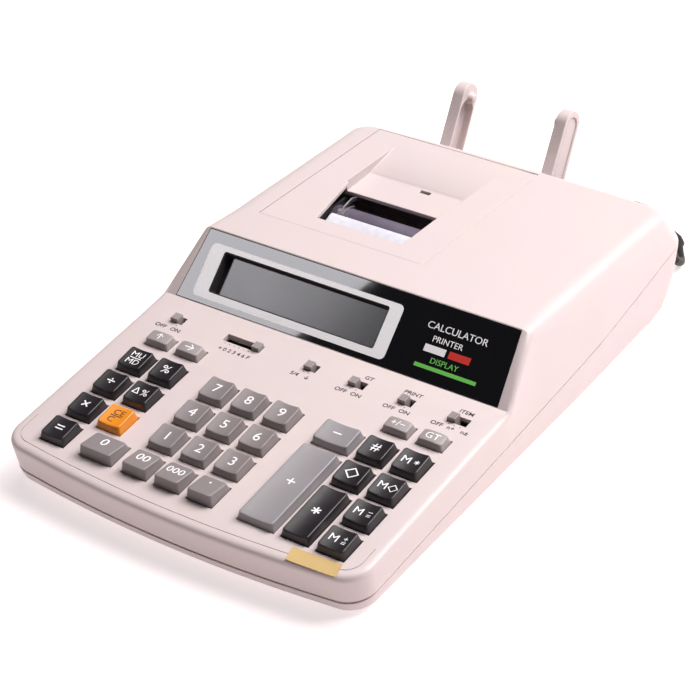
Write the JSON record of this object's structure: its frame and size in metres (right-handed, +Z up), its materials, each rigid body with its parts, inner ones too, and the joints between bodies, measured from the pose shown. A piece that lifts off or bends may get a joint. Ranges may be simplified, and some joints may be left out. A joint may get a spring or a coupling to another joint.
{
  "type": "desktop printing calculator",
  "caption": "Desktop printing calculator with a sloping fluorescent display panel, sculpted push keys, slide switches, a lift-off printer cover and folding paper-roll arms.",
  "frame": {"origin": "middle of the footprint on the table, measured without the mains lead", "axes": "+Y from the keyboard to the paper arms, +Z up, +X to the right as the user sees it"},
  "size_m": [0.216, 0.3811, 0.0669],
  "materials": {
    "case_plastic": "fine satin moulded plastic, warm white",
    "black_key": "satin moulded plastic",
    "grey_key": "satin moulded plastic, warm grey",
    "operator_key": "satin moulded plastic, cool grey",
    "light_key": "satin moulded plastic, light grey",
    "orange_key": "satin moulded plastic, orange",
    "switch_plastic": "ribbed satin plastic",
    "panel_gloss": "polished black",
    "smoked_glass": "polished smoked acrylic",
    "clear_plastic": "clear moulded",
    "steel": "plated sheet",
    "type_metal": "die cast",
    "board": "coated board",
    "lamination": "varnished laminations",
    "rubber": "soft rubber",
    "platen_rubber": "ground rubber, purple grey",
    "cord_rubber": "satin black"
  },
  "bodies": {
    "case": {"upper_case": "case_plastic", "lower_case": "case_plastic", "display_panel": "panel_gloss", "display_filter": "smoked_glass", "paper_cutter": "clear_plastic", "printer_frame": "steel", "circuit_board": "board", "transformer": "lamination", "foot_front_left": "rubber", "foot_front_right": "rubber", "foot_rear_left": "rubber", "foot_rear_right": "rubber", "bend_relief": "cord_rubber", "cord_lead": "cord_rubber", "cord_coil": "cord_rubber", "plug": "cord_rubber"},
    "key_equals": {"key_equals": "black_key"},
    "key_multiply": {"key_multiply": "black_key"},
    "key_clear_entry": {"key_clear_entry": "orange_key"},
    "key_divide": {"key_divide": "black_key"},
    "key_delta_percent": {"key_delta_percent": "black_key"},
    "key_markup": {"key_markup": "black_key"},
    "key_percent": {"key_percent": "black_key"},
    "key_0": {"key_0": "grey_key"},
    "key_00": {"key_00": "grey_key"},
    "key_000": {"key_000": "grey_key"},
    "key_point": {"key_point": "grey_key"},
    "key_1": {"key_1": "grey_key"},
    "key_2": {"key_2": "grey_key"},
    "key_3": {"key_3": "grey_key"},
    "key_4": {"key_4": "grey_key"},
    "key_5": {"key_5": "grey_key"},
    "key_6": {"key_6": "grey_key"},
    "key_7": {"key_7": "grey_key"},
    "key_8": {"key_8": "grey_key"},
    "key_9": {"key_9": "grey_key"},
    "key_minus": {"key_minus": "operator_key"},
    "key_plus": {"key_plus": "operator_key"},
    "key_total": {"key_total": "black_key"},
    "key_subtotal": {"key_subtotal": "black_key"},
    "key_number": {"key_number": "black_key"},
    "key_memory_plus": {"key_memory_plus": "black_key"},
    "key_memory_minus": {"key_memory_minus": "black_key"},
    "key_memory_subtotal": {"key_memory_subtotal": "black_key"},
    "key_memory_total": {"key_memory_total": "black_key"},
    "key_paper_feed": {"key_paper_feed": "light_key"},
    "key_shift_right": {"key_shift_right": "light_key"},
    "key_sign_change": {"key_sign_change": "light_key"},
    "key_grand_total": {"key_grand_total": "light_key"},
    "switch_power": {"switch_power": "switch_plastic"},
    "switch_decimal": {"switch_decimal": "switch_plastic"},
    "switch_rounding": {"switch_rounding": "switch_plastic"},
    "switch_grand_total_mode": {"switch_grand_total_mode": "switch_plastic"},
    "switch_print_mode": {"switch_print_mode": "switch_plastic"},
    "switch_item_count": {"switch_item_count": "switch_plastic"},
    "printer_cover": {"printer_cover": "case_plastic"},
    "platen_roller": {"platen_roller": "platen_rubber"},
    "type_wheel_shaft": {"type_wheel_shaft": "type_metal"},
    "paper_arm_left": {"paper_arm_left": "case_plastic"},
    "paper_arm_right": {"paper_arm_right": "case_plastic"}
  },
  "joints": [
    {"name": "key_equals_press", "type": "slide", "parent": "case", "child": "key_equals", "axis": [0, 0.0872, -0.9962], "range_m": [0, 0.003], "stiffness_N_per_m": 300, "springref_m": -0.001},
    {"name": "key_multiply_press", "type": "slide", "parent": "case", "child": "key_multiply", "axis": [0, 0.0872, -0.9962], "range_m": [0, 0.003], "stiffness_N_per_m": 300, "springref_m": -0.001},
    {"name": "key_clear_entry_press", "type": "slide", "parent": "case", "child": "key_clear_entry", "axis": [0, 0.0872, -0.9962], "range_m": [0, 0.003], "stiffness_N_per_m": 300, "springref_m": -0.001},
    {"name": "key_divide_press", "type": "slide", "parent": "case", "child": "key_divide", "axis": [0, 0.0872, -0.9962], "range_m": [0, 0.003], "stiffness_N_per_m": 300, "springref_m": -0.001},
    {"name": "key_delta_percent_press", "type": "slide", "parent": "case", "child": "key_delta_percent", "axis": [0, 0.0872, -0.9962], "range_m": [0, 0.003], "stiffness_N_per_m": 300, "springref_m": -0.001},
    {"name": "key_markup_press", "type": "slide", "parent": "case", "child": "key_markup", "axis": [0, 0.0872, -0.9962], "range_m": [0, 0.003], "stiffness_N_per_m": 300, "springref_m": -0.001},
    {"name": "key_percent_press", "type": "slide", "parent": "case", "child": "key_percent", "axis": [0, 0.0872, -0.9962], "range_m": [0, 0.003], "stiffness_N_per_m": 300, "springref_m": -0.001},
    {"name": "key_0_press", "type": "slide", "parent": "case", "child": "key_0", "axis": [0, 0.0872, -0.9962], "range_m": [0, 0.003], "stiffness_N_per_m": 300, "springref_m": -0.001},
    {"name": "key_00_press", "type": "slide", "parent": "case", "child": "key_00", "axis": [0, 0.0872, -0.9962], "range_m": [0, 0.003], "stiffness_N_per_m": 300, "springref_m": -0.001},
    {"name": "key_000_press", "type": "slide", "parent": "case", "child": "key_000", "axis": [0, 0.0872, -0.9962], "range_m": [0, 0.003], "stiffness_N_per_m": 300, "springref_m": -0.001},
    {"name": "key_point_press", "type": "slide", "parent": "case", "child": "key_point", "axis": [0, 0.0872, -0.9962], "range_m": [0, 0.003], "stiffness_N_per_m": 300, "springref_m": -0.001},
    {"name": "key_1_press", "type": "slide", "parent": "case", "child": "key_1", "axis": [0, 0.0872, -0.9962], "range_m": [0, 0.003], "stiffness_N_per_m": 300, "springref_m": -0.001},
    {"name": "key_2_press", "type": "slide", "parent": "case", "child": "key_2", "axis": [0, 0.0872, -0.9962], "range_m": [0, 0.003], "stiffness_N_per_m": 300, "springref_m": -0.001},
    {"name": "key_3_press", "type": "slide", "parent": "case", "child": "key_3", "axis": [0, 0.0872, -0.9962], "range_m": [0, 0.003], "stiffness_N_per_m": 300, "springref_m": -0.001},
    {"name": "key_4_press", "type": "slide", "parent": "case", "child": "key_4", "axis": [0, 0.0872, -0.9962], "range_m": [0, 0.003], "stiffness_N_per_m": 300, "springref_m": -0.001},
    {"name": "key_5_press", "type": "slide", "parent": "case", "child": "key_5", "axis": [0, 0.0872, -0.9962], "range_m": [0, 0.003], "stiffness_N_per_m": 300, "springref_m": -0.001},
    {"name": "key_6_press", "type": "slide", "parent": "case", "child": "key_6", "axis": [0, 0.0872, -0.9962], "range_m": [0, 0.003], "stiffness_N_per_m": 300, "springref_m": -0.001},
    {"name": "key_7_press", "type": "slide", "parent": "case", "child": "key_7", "axis": [0, 0.0872, -0.9962], "range_m": [0, 0.003], "stiffness_N_per_m": 300, "springref_m": -0.001},
    {"name": "key_8_press", "type": "slide", "parent": "case", "child": "key_8", "axis": [0, 0.0872, -0.9962], "range_m": [0, 0.003], "stiffness_N_per_m": 300, "springref_m": -0.001},
    {"name": "key_9_press", "type": "slide", "parent": "case", "child": "key_9", "axis": [0, 0.0872, -0.9962], "range_m": [0, 0.003], "stiffness_N_per_m": 300, "springref_m": -0.001},
    {"name": "key_minus_press", "type": "slide", "parent": "case", "child": "key_minus", "axis": [0, 0.0872, -0.9962], "range_m": [0, 0.003], "stiffness_N_per_m": 300, "springref_m": -0.001},
    {"name": "key_plus_press", "type": "slide", "parent": "case", "child": "key_plus", "axis": [0, 0.0872, -0.9962], "range_m": [0, 0.003], "stiffness_N_per_m": 300, "springref_m": -0.001},
    {"name": "key_total_press", "type": "slide", "parent": "case", "child": "key_total", "axis": [0, 0.0872, -0.9962], "range_m": [0, 0.003], "stiffness_N_per_m": 300, "springref_m": -0.001},
    {"name": "key_subtotal_press", "type": "slide", "parent": "case", "child": "key_subtotal", "axis": [0, 0.0872, -0.9962], "range_m": [0, 0.003], "stiffness_N_per_m": 300, "springref_m": -0.001},
    {"name": "key_number_press", "type": "slide", "parent": "case", "child": "key_number", "axis": [0, 0.0872, -0.9962], "range_m": [0, 0.003], "stiffness_N_per_m": 300, "springref_m": -0.001},
    {"name": "key_memory_plus_press", "type": "slide", "parent": "case", "child": "key_memory_plus", "axis": [0, 0.0872, -0.9962], "range_m": [0, 0.003], "stiffness_N_per_m": 300, "springref_m": -0.001},
    {"name": "key_memory_minus_press", "type": "slide", "parent": "case", "child": "key_memory_minus", "axis": [0, 0.0872, -0.9962], "range_m": [0, 0.003], "stiffness_N_per_m": 300, "springref_m": -0.001},
    {"name": "key_memory_subtotal_press", "type": "slide", "parent": "case", "child": "key_memory_subtotal", "axis": [0, 0.0872, -0.9962], "range_m": [0, 0.003], "stiffness_N_per_m": 300, "springref_m": -0.001},
    {"name": "key_memory_total_press", "type": "slide", "parent": "case", "child": "key_memory_total", "axis": [0, 0.0872, -0.9962], "range_m": [0, 0.003], "stiffness_N_per_m": 300, "springref_m": -0.001},
    {"name": "key_paper_feed_press", "type": "slide", "parent": "case", "child": "key_paper_feed", "axis": [0, 0.0872, -0.9962], "range_m": [0, 0.003], "stiffness_N_per_m": 300, "springref_m": -0.001},
    {"name": "key_shift_right_press", "type": "slide", "parent": "case", "child": "key_shift_right", "axis": [0, 0.0872, -0.9962], "range_m": [0, 0.003], "stiffness_N_per_m": 300, "springref_m": -0.001},
    {"name": "key_sign_change_press", "type": "slide", "parent": "case", "child": "key_sign_change", "axis": [0, 0.0872, -0.9962], "range_m": [0, 0.003], "stiffness_N_per_m": 300, "springref_m": -0.001},
    {"name": "key_grand_total_press", "type": "slide", "parent": "case", "child": "key_grand_total", "axis": [0, 0.0872, -0.9962], "range_m": [0, 0.003], "stiffness_N_per_m": 300, "springref_m": -0.001},
    {"name": "switch_power_slide", "type": "slide", "parent": "case", "child": "switch_power", "axis": [1, 0, 0], "range_m": [0, 0.0022]},
    {"name": "switch_decimal_slide", "type": "slide", "parent": "case", "child": "switch_decimal", "axis": [-1, 0, 0], "range_m": [0, 0.0181]},
    {"name": "switch_rounding_slide", "type": "slide", "parent": "case", "child": "switch_rounding", "axis": [1, 0, 0], "range_m": [0, 0.0021]},
    {"name": "switch_grand_total_mode_slide", "type": "slide", "parent": "case", "child": "switch_grand_total_mode", "axis": [1, 0, 0], "range_m": [0, 0.0041]},
    {"name": "switch_print_mode_slide", "type": "slide", "parent": "case", "child": "switch_print_mode", "axis": [1, 0, 0], "range_m": [0, 0.0029]},
    {"name": "switch_item_count_slide", "type": "slide", "parent": "case", "child": "switch_item_count", "axis": [1, 0, 0], "range_m": [0, 0.0058]},
    {"name": "printer_cover_lift", "type": "slide", "parent": "case", "child": "printer_cover", "axis": [0, 0, 1], "range_m": [0, 0.03]},
    {"name": "platen_roller_turn", "type": "hinge", "parent": "case", "child": "platen_roller", "pos_m": [-0.028, 0.04851, 0.0425], "axis": [1, 0, 0], "continuous": true},
    {"name": "type_wheel_shaft_turn", "type": "hinge", "parent": "case", "child": "type_wheel_shaft", "pos_m": [-0.028, 0.02701, 0.038], "axis": [1, 0, 0], "continuous": true},
    {"name": "paper_arm_left_fold", "type": "hinge", "parent": "case", "child": "paper_arm_left", "pos_m": [-0.062, 0.14201, 0.016], "axis": [-1, 0, 0], "range_deg": [0, 15]},
    {"name": "paper_arm_right_fold", "type": "hinge", "parent": "case", "child": "paper_arm_right", "pos_m": [0.006, 0.14201, 0.016], "axis": [-1, 0, 0], "range_deg": [0, 15]}
  ]
}
